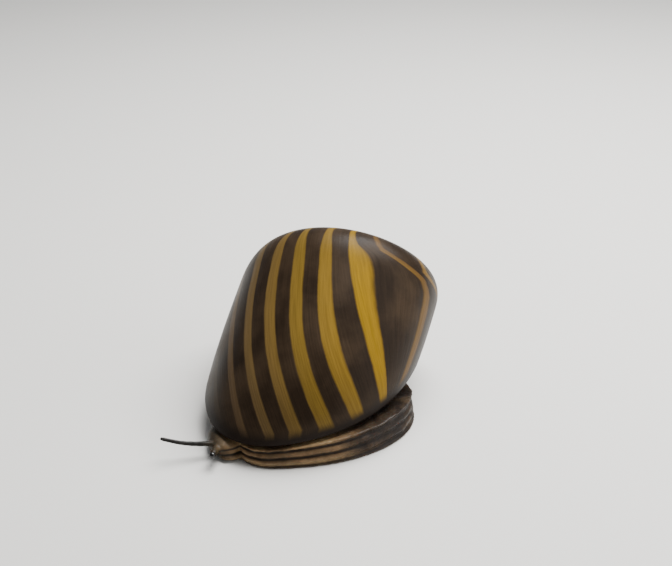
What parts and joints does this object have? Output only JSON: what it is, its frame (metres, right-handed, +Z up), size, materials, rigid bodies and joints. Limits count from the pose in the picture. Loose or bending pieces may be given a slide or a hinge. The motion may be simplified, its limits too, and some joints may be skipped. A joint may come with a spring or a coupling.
{
  "type": "nerite snail",
  "caption": "Life-size still model of a creeping nerite snail: striped dextral shell carried over a broad foot, with head, tentacles and eyes.",
  "frame": {"origin": "on the floor under the middle of the model's box", "axes": "+Z up; the head and the tentacles point to -Y; the animal's left side is +X; the shell's apex points to -X, +Y and up"},
  "size_m": [0.0228, 0.0246, 0.0149],
  "materials": {
    "shell": "glossy wet shell, dark olive-brown with oblique yellow stripes",
    "mantle": "soft dark grey-brown flesh lining the aperture",
    "skin": "soft moist brown flesh with dark lines along the foot's edge",
    "tentacle": "thin grey translucent flesh, dark at the tip",
    "operculum": "smooth limy plate with a faint curved rib",
    "eye": "small glossy black eye"
  },
  "bodies": {
    "root": {"shell": "shell", "mantle": "mantle", "body_column": "skin", "foot": "skin", "operculum": "operculum", "head": "skin", "snout": "skin", "tentacle_left_base": "tentacle", "tentacle_left_middle": "tentacle", "tentacle_left_tip": "tentacle", "tentacle_right_base": "tentacle", "tentacle_right_middle": "tentacle", "tentacle_right_tip": "tentacle", "eyestalk_left": "skin", "eyestalk_right": "skin", "eye_left": "eye", "eye_right": "eye"}
  },
  "joints": []
}
